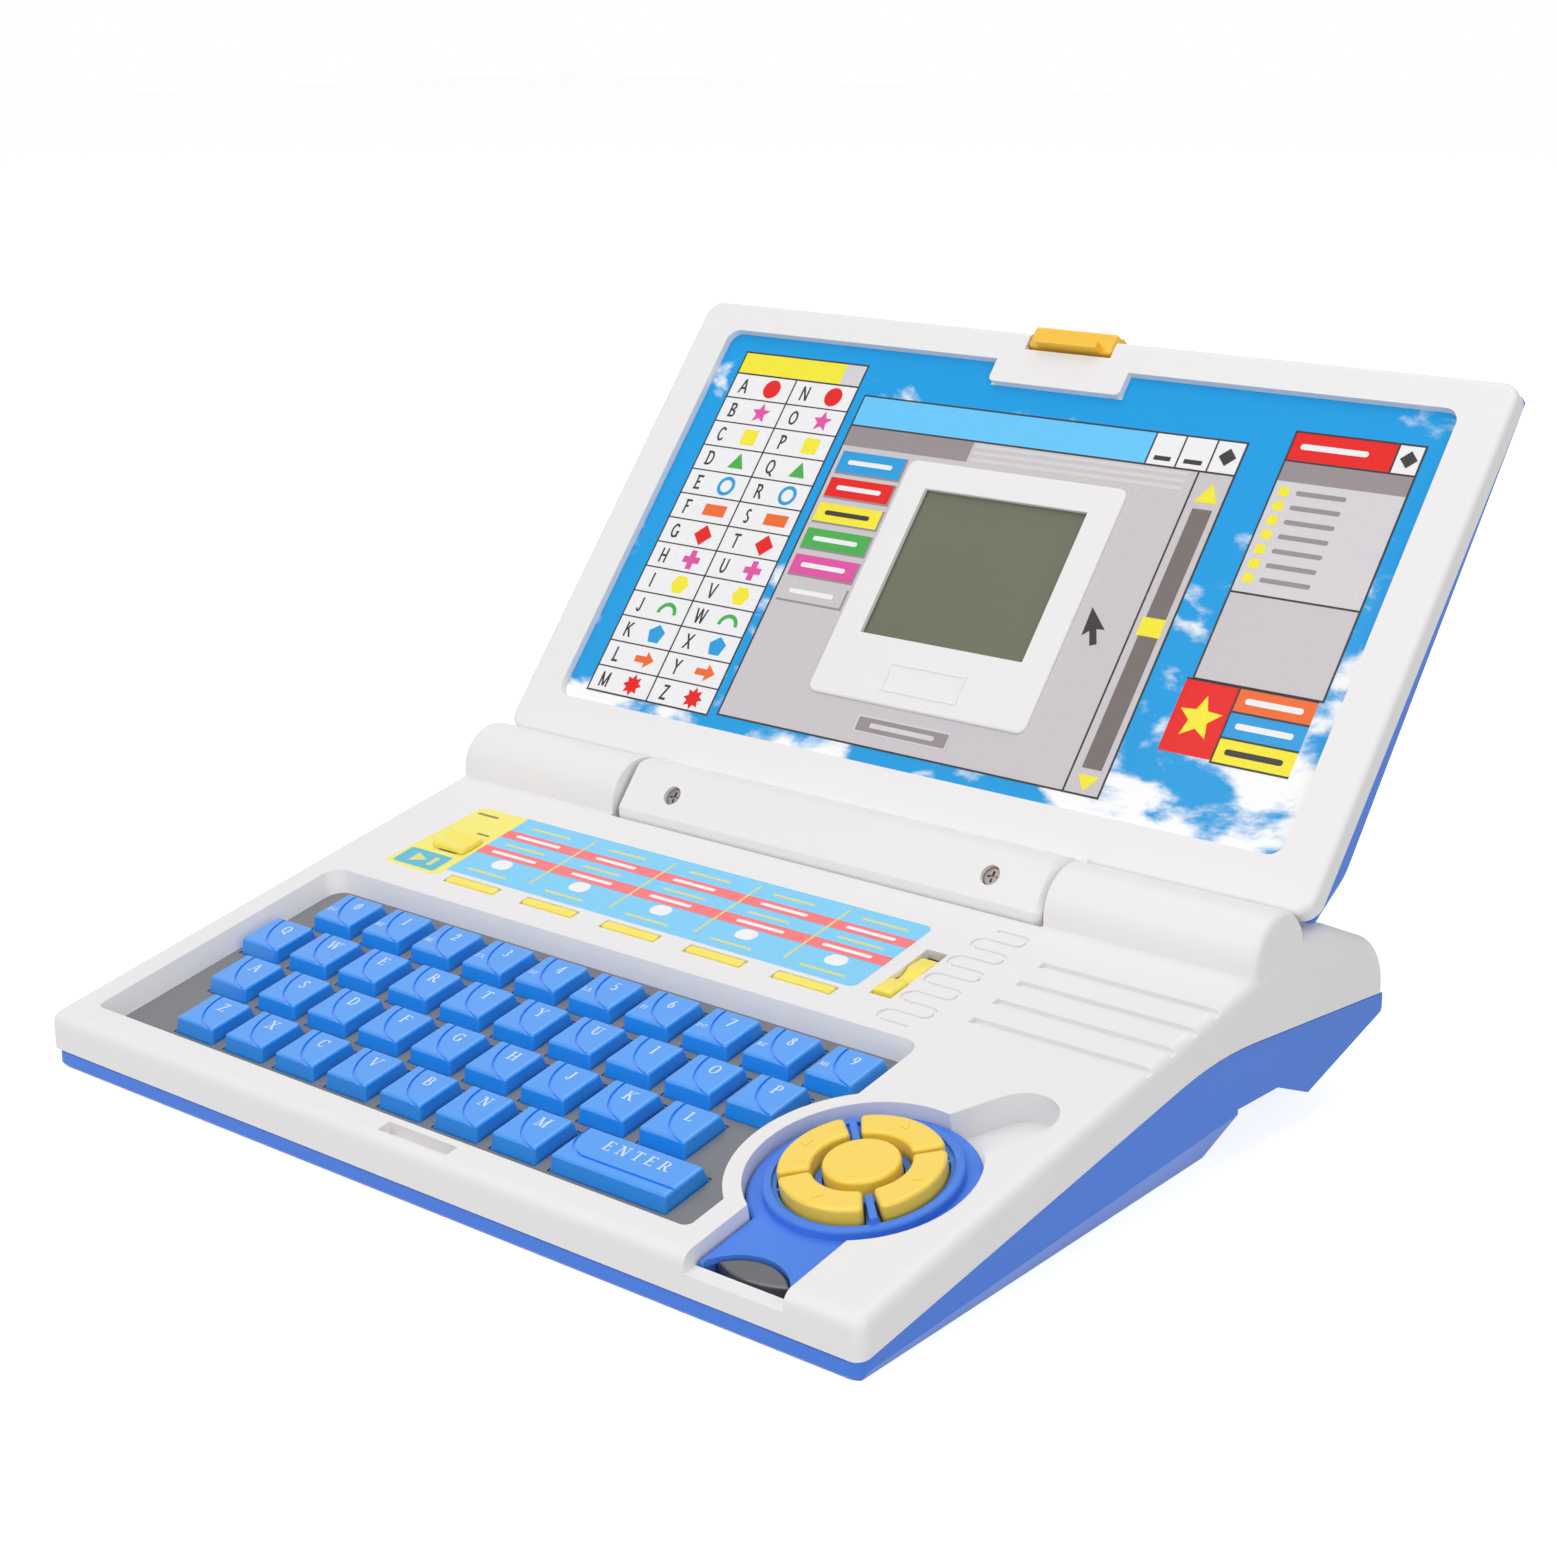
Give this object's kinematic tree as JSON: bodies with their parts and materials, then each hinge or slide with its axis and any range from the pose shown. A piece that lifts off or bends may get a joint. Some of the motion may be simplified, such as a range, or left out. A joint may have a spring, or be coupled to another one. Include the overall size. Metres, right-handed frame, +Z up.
{
  "type": "toy laptop computer",
  "caption": "Open toy laptop with a wedge-shaped base, blue letter keys, a lift-out round controller with yellow buttons, and a folding lid with a picture card and a small display.",
  "frame": {"origin": "on the flat underside, which is the ground plane, under the middle of the base", "axes": "+X to the right as seen by the person who types, +Y to the back, +Z up"},
  "size_m": [0.26, 0.2589, 0.1673],
  "materials": {
    "white_shell": "moulded",
    "blue_shell": "moulded",
    "blue_key": "moulded",
    "yellow_button": "moulded",
    "grey_sheet": "moulded",
    "display_glass": "polished",
    "grey_lens": "moulded",
    "screw_steel": "plain",
    "inner_parts": "plain"
  },
  "bodies": {
    "base": {"top_case": "white_shell", "bottom_case": "blue_shell", "key_plate": "grey_sheet", "inner_fittings": "inner_parts"},
    "lid": {"lid_front": "white_shell", "lid_back": "blue_shell", "lcd_panel": "display_glass", "lid_screws": "screw_steel"},
    "latch": {"lid_latch": "yellow_button"},
    "mouse": {"mouse_shell": "blue_shell", "mouse_lens": "grey_lens"},
    "mode_slider": {"mode_slider": "yellow_button"},
    "power_rocker": {"power_rocker": "yellow_button"},
    "activity_button_1": {"activity_button_1": "yellow_button"},
    "activity_button_2": {"activity_button_2": "yellow_button"},
    "activity_button_3": {"activity_button_3": "yellow_button"},
    "activity_button_4": {"activity_button_4": "yellow_button"},
    "activity_button_5": {"activity_button_5": "yellow_button"},
    "mouse_arrow_up": {"mouse_arrow_up": "yellow_button"},
    "mouse_arrow_down": {"mouse_arrow_down": "yellow_button"},
    "mouse_arrow_left": {"mouse_arrow_left": "yellow_button"},
    "mouse_arrow_right": {"mouse_arrow_right": "yellow_button"},
    "mouse_ok_button": {"mouse_ok_button": "yellow_button"},
    "key_a": {"key_a": "blue_key"},
    "key_b": {"key_b": "blue_key"},
    "key_c": {"key_c": "blue_key"},
    "key_d": {"key_d": "blue_key"},
    "key_e": {"key_e": "blue_key"},
    "key_f": {"key_f": "blue_key"},
    "key_g": {"key_g": "blue_key"},
    "key_h": {"key_h": "blue_key"},
    "key_i": {"key_i": "blue_key"},
    "key_j": {"key_j": "blue_key"},
    "key_k": {"key_k": "blue_key"},
    "key_l": {"key_l": "blue_key"},
    "key_m": {"key_m": "blue_key"},
    "key_n": {"key_n": "blue_key"},
    "key_o": {"key_o": "blue_key"},
    "key_p": {"key_p": "blue_key"},
    "key_q": {"key_q": "blue_key"},
    "key_r": {"key_r": "blue_key"},
    "key_s": {"key_s": "blue_key"},
    "key_t": {"key_t": "blue_key"},
    "key_u": {"key_u": "blue_key"},
    "key_v": {"key_v": "blue_key"},
    "key_w": {"key_w": "blue_key"},
    "key_x": {"key_x": "blue_key"},
    "key_y": {"key_y": "blue_key"},
    "key_z": {"key_z": "blue_key"},
    "key_0": {"key_0": "blue_key"},
    "key_1": {"key_1": "blue_key"},
    "key_2": {"key_2": "blue_key"},
    "key_3": {"key_3": "blue_key"},
    "key_4": {"key_4": "blue_key"},
    "key_5": {"key_5": "blue_key"},
    "key_6": {"key_6": "blue_key"},
    "key_7": {"key_7": "blue_key"},
    "key_8": {"key_8": "blue_key"},
    "key_9": {"key_9": "blue_key"},
    "key_enter": {"key_enter": "blue_key"}
  },
  "joints": [
    {"name": "latch_pivot", "type": "hinge", "parent": "lid", "child": "latch", "pos_m": [0, 0.14925, 0.16319], "axis": [1, 0, 0], "range_deg": [0, 6], "stiffness_Nm_per_rad": 0.03, "springref_deg": -11.46},
    {"name": "lid_fold", "type": "hinge", "parent": "base", "child": "lid", "pos_m": [0, 0.05168, 0.04568], "axis": [-1, 0, 0], "range_deg": [-140.5, 0]},
    {"name": "mode_slide", "type": "slide", "parent": "base", "child": "mode_slider", "axis": [0, 0.9781, 0.2079], "range_m": [-0.003, 0.003]},
    {"name": "mouse_lift", "type": "slide", "parent": "base", "child": "mouse", "axis": [0, -0.2079, 0.9781], "range_m": [0, 0.045]},
    {"name": "power_rock", "type": "hinge", "parent": "base", "child": "power_rocker", "pos_m": [0.0551, 0.0081, 0.03427], "axis": [1, 0, 0], "range_deg": [0, 10]},
    {"name": "press_activity_1", "type": "slide", "parent": "base", "child": "activity_button_1", "axis": [0, 0.2079, -0.9781], "range_m": [0, 0.0012], "stiffness_N_per_m": 400, "springref_m": -0.001},
    {"name": "press_activity_2", "type": "slide", "parent": "base", "child": "activity_button_2", "axis": [0, 0.2079, -0.9781], "range_m": [0, 0.0012], "stiffness_N_per_m": 400, "springref_m": -0.001},
    {"name": "press_activity_3", "type": "slide", "parent": "base", "child": "activity_button_3", "axis": [0, 0.2079, -0.9781], "range_m": [0, 0.0012], "stiffness_N_per_m": 400, "springref_m": -0.001},
    {"name": "press_activity_4", "type": "slide", "parent": "base", "child": "activity_button_4", "axis": [0, 0.2079, -0.9781], "range_m": [0, 0.0012], "stiffness_N_per_m": 400, "springref_m": -0.001},
    {"name": "press_activity_5", "type": "slide", "parent": "base", "child": "activity_button_5", "axis": [0, 0.2079, -0.9781], "range_m": [0, 0.0012], "stiffness_N_per_m": 400, "springref_m": -0.001},
    {"name": "press_mouse_arrow_up", "type": "slide", "parent": "mouse", "child": "mouse_arrow_up", "axis": [0, 0.2079, -0.9781], "range_m": [0, 0.0012], "stiffness_N_per_m": 400, "springref_m": -0.001},
    {"name": "press_mouse_arrow_down", "type": "slide", "parent": "mouse", "child": "mouse_arrow_down", "axis": [0, 0.2079, -0.9781], "range_m": [0, 0.0012], "stiffness_N_per_m": 400, "springref_m": -0.001},
    {"name": "press_mouse_arrow_left", "type": "slide", "parent": "mouse", "child": "mouse_arrow_left", "axis": [0, 0.2079, -0.9781], "range_m": [0, 0.0012], "stiffness_N_per_m": 400, "springref_m": -0.001},
    {"name": "press_mouse_arrow_right", "type": "slide", "parent": "mouse", "child": "mouse_arrow_right", "axis": [0, 0.2079, -0.9781], "range_m": [0, 0.0012], "stiffness_N_per_m": 400, "springref_m": -0.001},
    {"name": "press_mouse_ok_button", "type": "slide", "parent": "mouse", "child": "mouse_ok_button", "axis": [0, 0.2079, -0.9781], "range_m": [0, 0.0012], "stiffness_N_per_m": 400, "springref_m": -0.001},
    {"name": "press_key_a", "type": "slide", "parent": "base", "child": "key_a", "axis": [0, 0.2079, -0.9781], "range_m": [0, 0.002], "stiffness_N_per_m": 300, "springref_m": -0.001},
    {"name": "press_key_b", "type": "slide", "parent": "base", "child": "key_b", "axis": [0, 0.2079, -0.9781], "range_m": [0, 0.002], "stiffness_N_per_m": 300, "springref_m": -0.001},
    {"name": "press_key_c", "type": "slide", "parent": "base", "child": "key_c", "axis": [0, 0.2079, -0.9781], "range_m": [0, 0.002], "stiffness_N_per_m": 300, "springref_m": -0.001},
    {"name": "press_key_d", "type": "slide", "parent": "base", "child": "key_d", "axis": [0, 0.2079, -0.9781], "range_m": [0, 0.002], "stiffness_N_per_m": 300, "springref_m": -0.001},
    {"name": "press_key_e", "type": "slide", "parent": "base", "child": "key_e", "axis": [0, 0.2079, -0.9781], "range_m": [0, 0.002], "stiffness_N_per_m": 300, "springref_m": -0.001},
    {"name": "press_key_f", "type": "slide", "parent": "base", "child": "key_f", "axis": [0, 0.2079, -0.9781], "range_m": [0, 0.002], "stiffness_N_per_m": 300, "springref_m": -0.001},
    {"name": "press_key_g", "type": "slide", "parent": "base", "child": "key_g", "axis": [0, 0.2079, -0.9781], "range_m": [0, 0.002], "stiffness_N_per_m": 300, "springref_m": -0.001},
    {"name": "press_key_h", "type": "slide", "parent": "base", "child": "key_h", "axis": [0, 0.2079, -0.9781], "range_m": [0, 0.002], "stiffness_N_per_m": 300, "springref_m": -0.001},
    {"name": "press_key_i", "type": "slide", "parent": "base", "child": "key_i", "axis": [0, 0.2079, -0.9781], "range_m": [0, 0.002], "stiffness_N_per_m": 300, "springref_m": -0.001},
    {"name": "press_key_j", "type": "slide", "parent": "base", "child": "key_j", "axis": [0, 0.2079, -0.9781], "range_m": [0, 0.002], "stiffness_N_per_m": 300, "springref_m": -0.001},
    {"name": "press_key_k", "type": "slide", "parent": "base", "child": "key_k", "axis": [0, 0.2079, -0.9781], "range_m": [0, 0.002], "stiffness_N_per_m": 300, "springref_m": -0.001},
    {"name": "press_key_l", "type": "slide", "parent": "base", "child": "key_l", "axis": [0, 0.2079, -0.9781], "range_m": [0, 0.002], "stiffness_N_per_m": 300, "springref_m": -0.001},
    {"name": "press_key_m", "type": "slide", "parent": "base", "child": "key_m", "axis": [0, 0.2079, -0.9781], "range_m": [0, 0.002], "stiffness_N_per_m": 300, "springref_m": -0.001},
    {"name": "press_key_n", "type": "slide", "parent": "base", "child": "key_n", "axis": [0, 0.2079, -0.9781], "range_m": [0, 0.002], "stiffness_N_per_m": 300, "springref_m": -0.001},
    {"name": "press_key_o", "type": "slide", "parent": "base", "child": "key_o", "axis": [0, 0.2079, -0.9781], "range_m": [0, 0.002], "stiffness_N_per_m": 300, "springref_m": -0.001},
    {"name": "press_key_p", "type": "slide", "parent": "base", "child": "key_p", "axis": [0, 0.2079, -0.9781], "range_m": [0, 0.002], "stiffness_N_per_m": 300, "springref_m": -0.001},
    {"name": "press_key_q", "type": "slide", "parent": "base", "child": "key_q", "axis": [0, 0.2079, -0.9781], "range_m": [0, 0.002], "stiffness_N_per_m": 300, "springref_m": -0.001},
    {"name": "press_key_r", "type": "slide", "parent": "base", "child": "key_r", "axis": [0, 0.2079, -0.9781], "range_m": [0, 0.002], "stiffness_N_per_m": 300, "springref_m": -0.001},
    {"name": "press_key_s", "type": "slide", "parent": "base", "child": "key_s", "axis": [0, 0.2079, -0.9781], "range_m": [0, 0.002], "stiffness_N_per_m": 300, "springref_m": -0.001},
    {"name": "press_key_t", "type": "slide", "parent": "base", "child": "key_t", "axis": [0, 0.2079, -0.9781], "range_m": [0, 0.002], "stiffness_N_per_m": 300, "springref_m": -0.001},
    {"name": "press_key_u", "type": "slide", "parent": "base", "child": "key_u", "axis": [0, 0.2079, -0.9781], "range_m": [0, 0.002], "stiffness_N_per_m": 300, "springref_m": -0.001},
    {"name": "press_key_v", "type": "slide", "parent": "base", "child": "key_v", "axis": [0, 0.2079, -0.9781], "range_m": [0, 0.002], "stiffness_N_per_m": 300, "springref_m": -0.001},
    {"name": "press_key_w", "type": "slide", "parent": "base", "child": "key_w", "axis": [0, 0.2079, -0.9781], "range_m": [0, 0.002], "stiffness_N_per_m": 300, "springref_m": -0.001},
    {"name": "press_key_x", "type": "slide", "parent": "base", "child": "key_x", "axis": [0, 0.2079, -0.9781], "range_m": [0, 0.002], "stiffness_N_per_m": 300, "springref_m": -0.001},
    {"name": "press_key_y", "type": "slide", "parent": "base", "child": "key_y", "axis": [0, 0.2079, -0.9781], "range_m": [0, 0.002], "stiffness_N_per_m": 300, "springref_m": -0.001},
    {"name": "press_key_z", "type": "slide", "parent": "base", "child": "key_z", "axis": [0, 0.2079, -0.9781], "range_m": [0, 0.002], "stiffness_N_per_m": 300, "springref_m": -0.001},
    {"name": "press_key_0", "type": "slide", "parent": "base", "child": "key_0", "axis": [0, 0.2079, -0.9781], "range_m": [0, 0.002], "stiffness_N_per_m": 300, "springref_m": -0.001},
    {"name": "press_key_1", "type": "slide", "parent": "base", "child": "key_1", "axis": [0, 0.2079, -0.9781], "range_m": [0, 0.002], "stiffness_N_per_m": 300, "springref_m": -0.001},
    {"name": "press_key_2", "type": "slide", "parent": "base", "child": "key_2", "axis": [0, 0.2079, -0.9781], "range_m": [0, 0.002], "stiffness_N_per_m": 300, "springref_m": -0.001},
    {"name": "press_key_3", "type": "slide", "parent": "base", "child": "key_3", "axis": [0, 0.2079, -0.9781], "range_m": [0, 0.002], "stiffness_N_per_m": 300, "springref_m": -0.001},
    {"name": "press_key_4", "type": "slide", "parent": "base", "child": "key_4", "axis": [0, 0.2079, -0.9781], "range_m": [0, 0.002], "stiffness_N_per_m": 300, "springref_m": -0.001},
    {"name": "press_key_5", "type": "slide", "parent": "base", "child": "key_5", "axis": [0, 0.2079, -0.9781], "range_m": [0, 0.002], "stiffness_N_per_m": 300, "springref_m": -0.001},
    {"name": "press_key_6", "type": "slide", "parent": "base", "child": "key_6", "axis": [0, 0.2079, -0.9781], "range_m": [0, 0.002], "stiffness_N_per_m": 300, "springref_m": -0.001},
    {"name": "press_key_7", "type": "slide", "parent": "base", "child": "key_7", "axis": [0, 0.2079, -0.9781], "range_m": [0, 0.002], "stiffness_N_per_m": 300, "springref_m": -0.001},
    {"name": "press_key_8", "type": "slide", "parent": "base", "child": "key_8", "axis": [0, 0.2079, -0.9781], "range_m": [0, 0.002], "stiffness_N_per_m": 300, "springref_m": -0.001},
    {"name": "press_key_9", "type": "slide", "parent": "base", "child": "key_9", "axis": [0, 0.2079, -0.9781], "range_m": [0, 0.002], "stiffness_N_per_m": 300, "springref_m": -0.001},
    {"name": "press_key_enter", "type": "slide", "parent": "base", "child": "key_enter", "axis": [0, 0.2079, -0.9781], "range_m": [0, 0.002], "stiffness_N_per_m": 300, "springref_m": -0.001}
  ]
}
